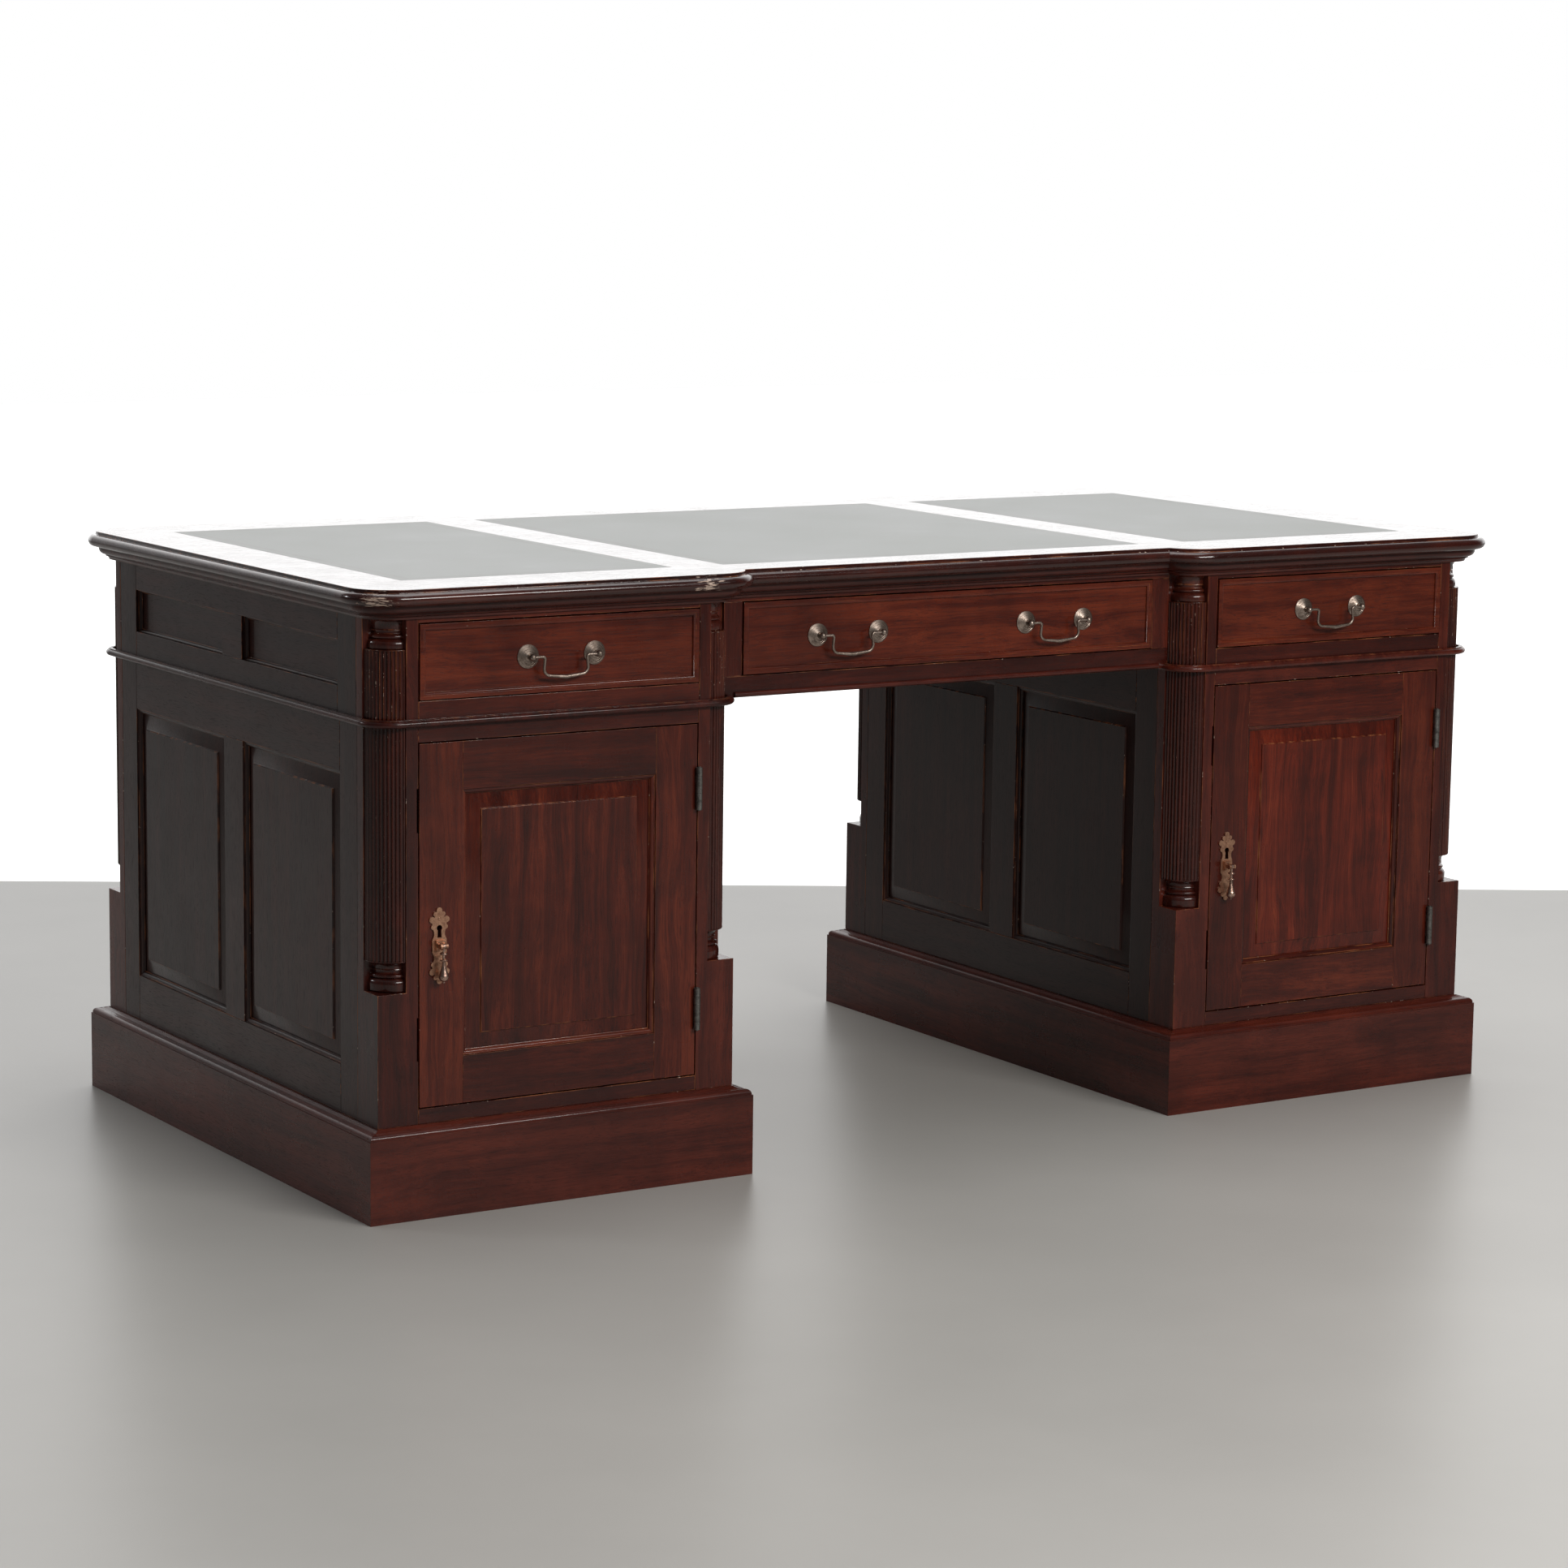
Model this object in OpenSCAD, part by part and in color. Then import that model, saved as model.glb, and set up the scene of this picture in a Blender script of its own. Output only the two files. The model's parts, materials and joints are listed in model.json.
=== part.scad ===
// Pedestal writing desk: a leather-lined top section with three frieze drawers, standing on two
// cupboard pedestals with fluted corner columns. Millimetres, +Z up, front towards -Y.
// The origin is on the floor under the middle of the desk.

/* [Overall] */
// Width over the two plinths
desk_w = 1750; // [1720:10:1800]
// Depth over the plinths
desk_d = 870; // [850:10:900]
// Height of the writing surface
desk_h = 775; // [774:0.5:778]

/* [Pedestals] */
// Width of one plinth
plinth_w = 543; // [535:1:550]
// Height of the flat face of the plinth
plinth_face_h = 104; // [95:1:105]
// Height to the top of the plinth's moulding
plinth_h = 114.5; // [112:0.5:116]
// How far a pedestal stands back from its plinth
body_inset = 20; // [18:1:22]
// Height of the square blocks under the columns
block_top = 280; // [240:5:320]
// Height of the pedestals, where the top section sits on them
waist_z = 606; // [604:1:607]
// Width of the square corner posts
post_w = 55; // [54:1:56]
// Thickness of the framed boards
frame_t = 22; // [21:0.5:23]

/* [Columns] */
// Side of the square notch in a corner post that holds a column
notch = 38.5; // [38:0.5:39]
// Distance from a column's centre to each outer face
column_inset = 36; // [35.5:0.5:37]
// Radius of a column's shaft
column_r = 34.5; // [34:0.5:35]

/* [Doors] */
// Height of the door opening above the floor
door_z = 133.5; // [132:0.5:134]
// Height of the door opening
door_h = 452.5; // [450:0.5:453]
// Width of the door's stiles and rails
door_rail = 61; // [58:1:64]
// How far a door swings open, in degrees
door_swing = 110; // [90:1:115]

/* [Drawers] */
// Height of the drawer openings above the floor
drawer_z = 636.5; // [636:0.5:637]
// Height of the drawer openings
drawer_h = 95; // [94:0.5:95]
// Width of the centre drawer's opening
centre_drawer_w = 647; // [640:1:650]
// Length of a drawer box behind its front
drawer_box_d = 560; // [500:10:600]

/* [Handles] */
// Distance between the two posts of a bail handle
bail_span = 93; // [88:1:100]
// How far a bail hangs below its pivots
bail_drop = 26; // [24:1:28]
// Distance of the centre drawer's handles from the middle
centre_handle_x = 163; // [150:1:180]

/* [Hidden] */
$fn = 48;

// Colours
mahogany = [0.30, 0.10, 0.07];
dark_mahogany = [0.17, 0.07, 0.06];
bright_mahogany = [0.42, 0.14, 0.08];
drawer_wood = [0.55, 0.38, 0.24];
leather_green = [0.20, 0.23, 0.20];
aged_brass = [0.45, 0.40, 0.34];
coppery_brass = [0.62, 0.42, 0.26];
hinge_grey = [0.40, 0.38, 0.36];

// Joinery
joint = 0.1;                                   // gap left between neighbouring boards
running = 0.06;                                // radial clearance of a pin in its hole

// Pedestals, each in its own frame with its middle at x = 0
body_hw = plinth_w / 2 - body_inset;           // half width
body_hd = desk_d / 2 - body_inset;             // half depth
pedestal_x = (desk_w - plinth_w) / 2;          // middle of each pedestal
side_in = body_hw - frame_t;                   // inner face of the side frames
back_in = body_hd - frame_t;                   // inner face of the back frame
stile_end = 312;                               // outer edge of the side panels, from the middle
muntin_hw = 29;                                // half width of the upright between two panels
panel_z = [176, 542];                          // bottom and top of the side panel openings
door_hw = body_hw - post_w;                    // half width of the door opening
board_t = 18;                                  // thickness of the cabinet boards
plinth_t = 44;                                 // thickness of the plinth boards

// Top section
frieze_step = 1;                               // the frieze stands this far outside the pedestals
frieze_hw = body_hw + frieze_step;
frieze_hd = body_hd + frieze_step;
frieze_in = pedestal_x - frieze_hw;            // distance from the middle to a block's inner side
centre_hd = 381;                               // half depth of the recessed centre
board_bottom = 755;                            // underside of the top board
cornice_z = 737;                               // underside of the cornice
overhang = 31.5;                               // the top board beyond the frieze
corner_r = 34;                                 // corner radius of the mouldings, at the frieze's face
nosing_r = 7.75;                               // radius of the board's rounded edge
fillet_h = 4.5;                                // height of the flat step above the rounded edge
fillet_in = 10.5;                              // set-back of the writing surface from the edge
leather_t = 1.5;
leather_side = [405, 785];                     // inner and outer edge of the side leathers
leather_centre_hw = 328;
leather_hd = 340;
frieze_panel_z = [647, 703];

// Doors and their hinges, in the pedestal's frame
door_gap = 1.5;
door_t = 22;
door_y = -body_hd;                             // front face
knuckle_r = 4;
pin_r = 2;
hinge_x = door_hw - door_gap / 2;
hinge_y = door_y - knuckle_r - 0.4;
hinge_h = 54;
hinge_zs = [193.5, 476];                       // lower ends of the two hinges
leaf_t = 2;
leaf_w = 20;
lock_x = -door_hw + 28;                        // middle of the escutcheon and lock
keyhole_z = 357;
pull_z = 336;                                  // pivot of the drop pull
pull_y = door_y - 13;

// Drawers
drawer_gap = 1.5;
side_drawer_w = 2 * door_hw;
front_t = 21;
lip_w = 8.5;                                   // width of the raised edge round a drawer front
lip_h = 3.5;                                   // and its height over the flat field
lip_proud = 1.5;                               // how far the raised edge stands out of the frieze
handle_z = 683;
rose_r = 14.8;
bail_r = 1.8;
bail_out = 13;                                 // pivot of a bail in front of the drawer's field

// ---------------------------------------------------------------- helpers

// A board that fills the given ranges, less half a joint on every side
module board(x, y, z)
    translate([x[0] + joint / 2, y[0] + joint / 2, z[0] + joint / 2])
        cube([x[1] - x[0] - joint, y[1] - y[0] - joint, z[1] - z[0] - joint]);

// The same piece at four corners, mirrored
module four_corners()
    for (sx = [0, 1], sy = [0, 1])
        mirror([sx, 0, 0]) mirror([0, sy, 0]) children();

// The same piece at the front and at the back, mirrored
module front_and_back()
    for (sy = [0, 1]) mirror([0, sy, 0]) children();

// The same piece at the left and at the right, mirrored
module left_and_right()
    for (sx = [0, 1]) mirror([sx, 0, 0]) children();

// Moves a piece drawn in a pedestal's own frame to the left (-1) or right (1) pedestal
module at_pedestal(side) translate([side * pedestal_x, 0, 0]) children();

module at_both_pedestals() for (side = [-1, 1]) at_pedestal(side) children();

// Stands a piece drawn in the XY plane, with its face up, upright facing -Y
module face_front(y) translate([0, y, 0]) rotate([90, 0, 0]) children();

// A block w by d, upright, whose four edges follow the points [inset, height]
module moulded_block(w, d, edge) {
    n = len(edge);
    function section(size) = concat(
        [for (p = edge) [-size / 2 + p[0], p[1]]],
        [for (i = [n - 1:-1:0]) [size / 2 - edge[i][0], edge[i][1]]]);
    intersection() {
        rotate([90, 0, 90]) linear_extrude(w, center = true) polygon(section(d));
        rotate([90, 0, 0]) linear_extrude(d, center = true) polygon(section(w));
    }
}

// Points of an arc, from one angle to another
function arc(centre, r, from, to, n = 8) =
    [for (i = [0:n]) centre + r * [cos(from + (to - from) * i / n), sin(from + (to - from) * i / n)]];

// Sweeps a profile, drawn as [distance out of the face, height], round a block whose corners
// have the radius corner_r at the face
module around(x0, x1, hy) {
    r = corner_r;
    for (s = [-1, 1])
        translate([(x0 + x1) / 2, 0, 0]) rotate([0, 0, 90 * s]) translate([hy, 0, 0])
            rotate([90, 0, 0]) linear_extrude(x1 - x0 - 2 * r, center = true) children();
    translate([x1, 0, 0]) rotate([90, 0, 0])
        linear_extrude(2 * (hy - r), center = true) children();
    translate([x0, 0, 0]) rotate([0, 0, 180]) rotate([90, 0, 0])
        linear_extrude(2 * (hy - r), center = true) children();
    for (s = [0, 1]) mirror([0, s, 0]) {
        translate([x1 - r, hy - r, 0])
            rotate_extrude(angle = 90) translate([r, 0]) children();
        translate([x0 + r, hy - r, 0]) rotate([0, 0, 90])
            rotate_extrude(angle = 90) translate([r, 0]) children();
    }
}

// The straight stretches of a moulding across the recessed centre, front and back
module across_centre(hx)
    for (s = [-1, 1]) rotate([0, 0, 90 * s]) translate([centre_hd, 0, 0])
        rotate([90, 0, 0]) linear_extrude(2 * hx, center = true) children();

// A rectangle with rounded corners
module round_block(x0, x1, hy, r) {
    translate([x0 + r, -hy]) square([x1 - x0 - 2 * r, 2 * hy]);
    translate([x0, -hy + r]) square([x1 - x0, 2 * (hy - r)]);
    for (x = [x0 + r, x1 - r], s = [-1, 1]) translate([x, s * (hy - r)]) circle(r);
}

// Plan of the top section at a distance out of the frieze's faces
module desk_plan(out) {
    left_and_right()
        round_block(-pedestal_x - frieze_hw - out, -frieze_in + out, frieze_hd + out,
            corner_r + out);
    square([2 * frieze_in, 2 * (centre_hd + out)], center = true);
}

// Four mitred strips round the inside of an opening w by h, drawn flat with their faces up.
// They fill the depth from base to top and step down towards the opening.
module opening_moulding(w, h, strip, base, top) {
    drop = top - base;
    kerf = 3 * strip;
    pit = concat(
        [[strip, base - 1], [strip, base + 0.2 * drop], [strip - 0.8, base + 0.2 * drop]],
        arc([strip - 0.8 - 0.6 * drop, base + 0.2 * drop], 0.6 * drop, 0, 90, 6),
        [[1.2, base + 0.8 * drop], [1.2, top + 1]]);
    difference() {
        translate([-w / 2 + joint, -h / 2 + joint, base])
            cube([w - 2 * joint, h - 2 * joint, drop]);
        moulded_block(w, h, pit);
        for (sx = [-1, 1], sy = [-1, 1])
            translate([sx * (w / 2 - strip / 2), sy * (h / 2 - strip / 2), base + drop / 2])
                rotate([0, 0, 45 * sx * sy]) cube([kerf, joint, 2 * drop], center = true);
    }
}

// A raised and fielded panel, drawn flat with its face up, for an opening w by h.
// Its edges reach into the grooves of the frame.
groove = 6;
tongue_t = 6;
module fielded_panel(w, h, bevel = 26) {
    edge = groove - joint;
    moulded_block(w + 2 * edge, h + 2 * edge,
        [[0, 0], [0, tongue_t], [edge, tongue_t], [edge + bevel, tongue_t + 5],
         [edge + bevel, tongue_t + 7]]);
}

// ---------------------------------------------------------------- top section

// The moulded top, with three shallow beds for the leathers
module top_board() color(mahogany) difference() {
    union() {
        left_and_right()
            translate([0, 0, board_bottom + nosing_r])
                around(-pedestal_x - frieze_hw, -frieze_in, frieze_hd)
                    translate([overhang - nosing_r, 0]) circle(nosing_r);
        translate([0, 0, board_bottom + nosing_r])
            across_centre(frieze_in) translate([overhang - nosing_r, 0]) circle(nosing_r);
        translate([0, 0, board_bottom])
            linear_extrude(2 * nosing_r) desk_plan(overhang - nosing_r);
        translate([0, 0, board_bottom + nosing_r])
            linear_extrude(desk_h - board_bottom - nosing_r) desk_plan(overhang - fillet_in);
    }
    leather_beds(leather_t, 0);
}

// The places of the three leathers, which = -1, 0 or 1, or all of them
module leather_bed(which, thick, gap) {
    x = which == 0 ? [-leather_centre_hw, leather_centre_hw]
        : [which * leather_side[0], which * leather_side[1]];
    x0 = min(x) + gap;
    x1 = max(x) - gap;
    translate([x0, -leather_hd + gap, desk_h - thick])
        cube([x1 - x0, 2 * (leather_hd - gap), thick + (gap == 0 ? 1 : 0)]);
}

module leather_beds(thick, gap) for (which = [-1, 0, 1]) leather_bed(which, thick, gap);

module leather(which) color(leather_green) leather_bed(which, leather_t - 0.05, joint);

// A quarter round over a small cove, all round under the top board
module cornice() color(dark_mahogany) {
    left_and_right() difference() {
        around(-pedestal_x - frieze_hw, -frieze_in, frieze_hd) cornice_profile();
        translate([-frieze_in, -centre_hd, cornice_z - 1]) cube([40, 2 * centre_hd, 30]);
    }
    across_centre(frieze_in - joint) cornice_profile();
}

cornice_out = 17.5;
module cornice_profile() {
    top = board_bottom - joint;
    round_r = 8;
    cove_r = 4.5;
    inner = cornice_out - round_r;
    step_z = cornice_z + cove_r + 2.5;
    polygon(concat(
        [[joint, cornice_z], [joint, top], [cornice_out, top]],
        arc([inner, step_z + round_r], round_r, 0, -90),
        [[inner - 1.2, step_z], [inner - 1.2, cornice_z + cove_r]],
        arc([inner - 1.2, cornice_z], cove_r, 90, 180, 5)));
}

// The eight corner posts of the top section
module frieze_corner_posts() color(mahogany)
    at_both_pedestals() four_corners()
        notched_post(frieze_hw, frieze_hd, frieze_step, waist_z, board_bottom, waist_z);

// A square post at the corner (hw, hd), notched above notch_z. step widens it over the pedestal's.
module notched_post(hw, hd, step, z0, z1, notch_z) {
    size = post_w + step;
    cut = notch + step;
    difference() {
        board([hw - size, hw + joint / 2], [hd - size, hd + joint / 2], [z0, z1]);
        translate([hw - cut, hd - cut, notch_z]) cube([cut + 1, cut + 1, z1 - notch_z + 1]);
    }
}

// A turned column at the corner (hw, hd), cut to fit its notch. The children are its outline.
flutes = 11;
flute_step = 8.4;                              // degrees between two flutes
flute_r = 2.4;
module corner_column(hw, hd, inset, cut, flute_z, notch_z) {
    difference() {
        translate([hw - inset, hd - inset, 0]) difference() {
            rotate_extrude() children();
            for (i = [0:flutes - 1]) rotate([0, 0, 45 + (i - (flutes - 1) / 2) * flute_step])
                translate([column_r + 0.5, 0, flute_z[0]])
                    cylinder(h = flute_z[1] - flute_z[0], r = flute_r, $fn = 24);
        }
        translate([hw - cut - 60, hd - 90, notch_z - 1]) cube([60 + joint, 120, 400]);
        translate([hw - 90, hd - cut - 60, notch_z - 1]) cube([120, 60 + joint, 400]);
    }
}

// The turned end of a column, from z upwards: a rounded drum, a ring, a neck with a fine bead
// and a flare back to nearly the full radius
ring_h = 4.8;
neck_h = 6.7;
function turned_end(z, drum_h, flare_h) =
    let (ring_z = z + drum_h, neck_z = ring_z + ring_h, flare_z = neck_z + neck_h)
    concat(
        [[column_r - 5.5, z], [column_r - 4.2, z + 1.5]],
        arc([column_r - 12, ring_z - 7.6], 8, 0, 70, 6),
        arc([column_r - 9, ring_z + ring_h / 2], ring_h / 2, -80, 80, 8),
        [[column_r - 10.3, neck_z + 1.2], [column_r - 10.7, neck_z + 2.9],
         [column_r - 10.3, neck_z + 4.5], [column_r - 8.9, neck_z + 4.9],
         [column_r - 8.6, neck_z + 5.6], [column_r - 8.9, neck_z + 6.3],
         [column_r - 9.7, flare_z]],
        [for (i = [1:7]) [column_r - 0.8 - 8.9 * cos(i * 12), flare_z + flare_h * sin(i * 12)]]);

// Outline of a pedestal's column: a turned base and a fluted shaft
base_drum = 17;
base_flare = 9;
base_h = base_drum + ring_h + neck_h + base_flare;
module column_outline() {
    base = block_top + joint;
    top = waist_z - joint;
    polygon(concat([[0, base]], turned_end(base, base_drum, base_flare),
        [[column_r - 0.7, base + base_h], [column_r, base + base_h], [column_r, top], [0, top]]));
}

// Outline of a frieze column: a fluted shaft and a turned capital under the cornice
cap_drum = 13;
cap_flare = 13;
shaft_top = cornice_z - cap_drum - ring_h - neck_h - cap_flare;
module frieze_column_outline() {
    top = board_bottom - joint;
    polygon(concat(
        [[0, waist_z + joint], [column_r, waist_z + joint], [column_r, shaft_top]],
        turned_end(shaft_top, cap_drum, cap_flare),
        [[column_r - 0.7, cornice_z], [column_r - 0.7, top], [0, top]]));
}

module frieze_columns() color(dark_mahogany)
    at_both_pedestals() four_corners()
        corner_column(frieze_hw, frieze_hd, column_inset + frieze_step, notch + frieze_step,
            [waist_z - 1, shaft_top - 1], waist_z) frieze_column_outline();

module columns(side) color(mahogany)
    at_pedestal(side) four_corners()
        corner_column(body_hw, body_hd, column_inset, notch,
            [block_top + base_h + 1, waist_z + 1], block_top) column_outline();

// Rails above and below the three drawers, and the posts beside the centre drawer
module frieze_front_rails() color(mahogany) {
    drawer_top = drawer_z + drawer_h;
    at_both_pedestals() {
        board([-door_hw, door_hw], [-frieze_hd, -frieze_hd + frame_t], [waist_z, drawer_z]);
        board([-door_hw, door_hw], [-frieze_hd, -frieze_hd + frame_t], [drawer_top, board_bottom]);
    }
    y = [-centre_hd, -centre_hd + frame_t];
    board([-frieze_in, frieze_in], y, [waist_z + 3, drawer_z]);
    board([-frieze_in, frieze_in], y, [drawer_top, board_bottom]);
    left_and_right() board([centre_drawer_w / 2, frieze_in], y, [drawer_z, drawer_top]);
}

// An upright frame in the YZ plane at x (outer face), facing +X: rails, stiles and a muntin
module side_frame(face, t, y_end, z, opening_z, stile_y, muntin) {
    x = [face - t, face];
    front_and_back() difference() {
        board(x, [stile_y, y_end], z);
        grooves_yz(face - t, opening_z, stile_y);
    }
    difference() {
        union() {
            board(x, [-stile_y, stile_y], [z[0], opening_z[0]]);
            board(x, [-stile_y, stile_y], [opening_z[1], z[1]]);
            board(x, [-muntin, muntin], opening_z);
        }
        front_and_back() grooves_yz(face - t, opening_z, stile_y, muntin);
    }
}

// The groove that holds a panel's edges, round one half of a side frame
groove_x = 6.9;                                // from the frame's inner face
module grooves_yz(x, opening_z, y1, y0 = undef) {
    start = is_undef(y0) ? y1 - 1 : y0 - groove;
    translate([x + groove_x, start, opening_z[0] - groove])
        cube([tongue_t + joint * 2, y1 + groove - start, opening_z[1] - opening_z[0] + 2 * groove]);
}

// The panel of a side frame, standing in its grooves and facing +X
module side_panel(face, t, y, z)
    translate([face - t + groove_x + joint, (y[0] + y[1]) / 2, (z[0] + z[1]) / 2])
        rotate([90, 0, 90]) fielded_panel(y[1] - y[0], z[1] - z[0]);

// The ends of the frieze: rails and an upright between two flat panels
module frieze_end_frames() color(dark_mahogany)
    left_and_right() translate([pedestal_x, 0, 0])
        side_frame(frieze_hw, frame_t, frieze_hd - post_w - frieze_step, [waist_z, board_bottom],
            frieze_panel_z, 308, muntin_hw + 1);

module frieze_end_panels() color(dark_mahogany)
    left_and_right() translate([pedestal_x, 0, 0]) front_and_back()
        flat_panel(frieze_hw - frame_t + groove_x + joint, [muntin_hw + 1, 308], frieze_panel_z);

// A flat panel in the YZ plane, with its edges in the grooves
module flat_panel(x, y, z) {
    edge = groove - joint;
    translate([x, y[0] - edge, z[0] - edge])
        cube([tongue_t, y[1] - y[0] + 2 * edge, z[1] - z[0] + 2 * edge]);
}

// A frame that closes the back of an opening 2 * hw wide, its outer face at y = face,
// with a muntin in the middle
module back_frame(hw, face, z, opening_z, stile_w, muntin) {
    y = [face - frame_t, face];
    difference() {
        union() {
            left_and_right() board([hw - stile_w, hw], y, z);
            board([-hw + stile_w, hw - stile_w], y, [z[0], opening_z[0]]);
            board([-hw + stile_w, hw - stile_w], y, [opening_z[1], z[1]]);
            board([-muntin, muntin], y, opening_z);
        }
        left_and_right()
            translate([muntin - groove, face - frame_t + groove_x, opening_z[0] - groove])
                cube([hw - stile_w - muntin + 2 * groove, tongue_t + 2 * joint,
                    opening_z[1] - opening_z[0] + 2 * groove]);
    }
}

// The panels of a back frame: x is the opening's range right of the middle
module back_panels(x, face, z, fielded)
    left_and_right()
        translate([(x[0] + x[1]) / 2, face - frame_t + groove_x + joint, (z[0] + z[1]) / 2])
        rotate([90, 0, 180])
            if (fielded) fielded_panel(x[1] - x[0], z[1] - z[0]);
            else translate([0, 0, tongue_t / 2])
                cube([x[1] - x[0] + 2 * (groove - joint), z[1] - z[0] + 2 * (groove - joint), tongue_t],
                    center = true);

frieze_stile = 18;                             // outer stiles of the frieze's back frames
frieze_muntin = 20;
module frieze_back_frames() color(mahogany) {
    z = [waist_z, board_bottom];
    at_both_pedestals()
        back_frame(door_hw, frieze_hd, z, frieze_panel_z, frieze_stile, frieze_muntin);
    back_frame(frieze_in, centre_hd, [waist_z + 3, board_bottom], frieze_panel_z, 46, muntin_hw);
}

module frieze_back_panels() color(mahogany) {
    at_both_pedestals()
        back_panels([frieze_muntin, door_hw - frieze_stile], frieze_hd, frieze_panel_z, false);
    back_panels([muntin_hw, frieze_in - 46], centre_hd, frieze_panel_z, false);
}

// The two partitions between the side blocks and the centre
module frieze_partitions() color(mahogany)
    left_and_right()
        board([frieze_in, frieze_in + frame_t],
            [-frieze_hd + post_w + frieze_step, frieze_hd - post_w - frieze_step],
            [waist_z, board_bottom]);

// The bearers that the drawers slide on and between
runner_t = 16;
module drawer_runners() color(drawer_wood) {
    top = drawer_z;
    at_both_pedestals() left_and_right() {
        board([door_hw - 8, body_hw - frame_t], [-body_hd + post_w, back_in - post_w + frame_t],
            [top - runner_t, top]);
        board([door_hw + 1, body_hw - frame_t], [-body_hd + post_w, back_in - post_w + frame_t],
            [top, top + 40]);
    }
    y = [-centre_hd + frame_t, centre_hd - frame_t];
    left_and_right() {
        board([centre_drawer_w / 2 - 9, frieze_in], y, [top - runner_t, top]);
        board([centre_drawer_w / 2 + 1, frieze_in], y, [top, top + 40]);
    }
}

// Thin boards that close the top section from below
module dust_boards() color(drawer_wood) {
    z = [waist_z + 4, waist_z + 12];
    at_both_pedestals()
        board([-door_hw, door_hw], [-frieze_hd + frame_t, frieze_hd - frame_t], z);
    board([-frieze_in, frieze_in], [-centre_hd + frame_t, centre_hd - frame_t], z);
}

// Half-round beads with a small step, round the foot of the frieze over each pedestal
bead_r = 4;
bead_out = 5;
module waist_beads() color(mahogany) {
    left_and_right() difference() {
        around(-pedestal_x - frieze_hw, -frieze_in, frieze_hd)
            translate([0, waist_z + bead_r]) bead_profile();
        // The centre of the frieze comes up to the inner bead
        translate([-frieze_in, -centre_hd - joint, waist_z + 3 - joint])
            cube([40, 2 * (centre_hd + joint), 20]);
    }
}

module bead_profile() {
    translate([joint, -bead_r]) square([bead_out - joint, 2 * bead_r + 1.5]);
    intersection() {
        translate([bead_out, 0]) circle(bead_r);
        translate([bead_out, -bead_r]) square(2 * bead_r);
    }
}

// Small beads along the lower edge of the centre rails
module centre_rail_beads() color(mahogany) {
    across_centre(frieze_in - 16) intersection() {
        translate([0.5, waist_z + 7]) circle(3.5);
        translate([joint, waist_z]) square([10, 20]);
    }
}

// ---------------------------------------------------------------- pedestals

// A plinth of four mitred boards, with an ogee moulding up to the pedestal
module plinth(side) color(mahogany) at_pedestal(side) difference() {
    rise = plinth_h - plinth_face_h;
    ogee = concat([[0, 0], [0, plinth_face_h], [1.5, plinth_face_h], [1.5, plinth_face_h + 1]],
        arc([7.5, plinth_face_h + 1], 6, 180, 90, 6),
        arc([13.5, plinth_face_h + 7 + 3.5], 3.5, 225, 270, 3),
        [[body_inset - 1.5, plinth_h - 1.2], [body_inset - 1.5, plinth_h], [body_inset + 6, plinth_h]]);
    moulded_block(plinth_w, desk_d, ogee);
    cube([plinth_w - 2 * plinth_t, desk_d - 2 * plinth_t, 3 * plinth_h], center = true);
    four_corners() translate([plinth_w / 2, desk_d / 2, 0]) rotate([0, 0, 45])
        cube([3 * plinth_t, joint, 3 * rise + 3 * plinth_face_h], center = true);
}

module corner_posts(side) color(mahogany) at_pedestal(side) four_corners()
    difference() {
        notched_post(body_hw, body_hd, 0, plinth_h, waist_z, block_top);
        // Mortises for the hinge leaves and the lock bolt, alike on all four posts
        for (z = hinge_zs)
            translate([door_hw - 1, body_hd - leaf_w - joint, z - joint])
                cube([1 + leaf_t + joint, leaf_w + 1, hinge_h + 2 * joint]);
        translate([door_hw - 1, body_hd - door_t - 10.5, keyhole_z - 9])
            cube([11, 10, 18]);
        translate([door_hw - 1, body_hd - door_t - 15 - joint, keyhole_z - 18 - joint])
            cube([2 + joint, 19 + 2 * joint, 36 + 2 * joint]);
    }

// Frames of the outer and the inner side, each round two raised panels
module side_frames(side) color(dark_mahogany) at_pedestal(side) left_and_right()
    side_frame(body_hw, frame_t, body_hd - post_w, [plinth_h, waist_z], panel_z,
        stile_end, muntin_hw);

module side_panels(side) color(dark_mahogany) at_pedestal(side) left_and_right() front_and_back()
    side_panel(body_hw, frame_t, [muntin_hw, stile_end], panel_z);

back_muntin = 25;
back_panel_x = [back_muntin, door_hw - 40];
module pedestal_back_frames() color(mahogany) at_both_pedestals()
    back_frame(door_hw, body_hd, [plinth_h, waist_z], panel_z, 40, back_muntin);

module pedestal_back_panels() color(mahogany) at_both_pedestals()
    back_panels(back_panel_x, body_hd, panel_z, true);

// Moulded strips round every panel of the sides and the back
strip_w = 6.5;
module panel_mouldings() color(dark_mahogany) {
    side_w = stile_end - muntin_hw;
    panel_h = panel_z[1] - panel_z[0];
    at_both_pedestals() {
        four_corners()
            translate([body_hw - frame_t, (muntin_hw + stile_end) / 2, (panel_z[0] + panel_z[1]) / 2])
                rotate([90, 0, 90]) opening_moulding(side_w, panel_h, strip_w, 14.6, 20.5);
        left_and_right()
            translate([(back_panel_x[0] + back_panel_x[1]) / 2, body_hd - frame_t,
                (panel_z[0] + panel_z[1]) / 2])
                rotate([90, 0, 180])
                    opening_moulding(back_panel_x[1] - back_panel_x[0], panel_h, strip_w, 14.6, 20.5);
    }
    frieze_h = frieze_panel_z[1] - frieze_panel_z[0];
    left_and_right() translate([pedestal_x, 0, 0]) front_and_back()
        translate([frieze_hw - frame_t, (muntin_hw + 1 + 308) / 2,
            (frieze_panel_z[0] + frieze_panel_z[1]) / 2])
            rotate([90, 0, 90]) opening_moulding(308 - muntin_hw - 1, frieze_h, 4, 13.2, 18.5);
}

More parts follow.
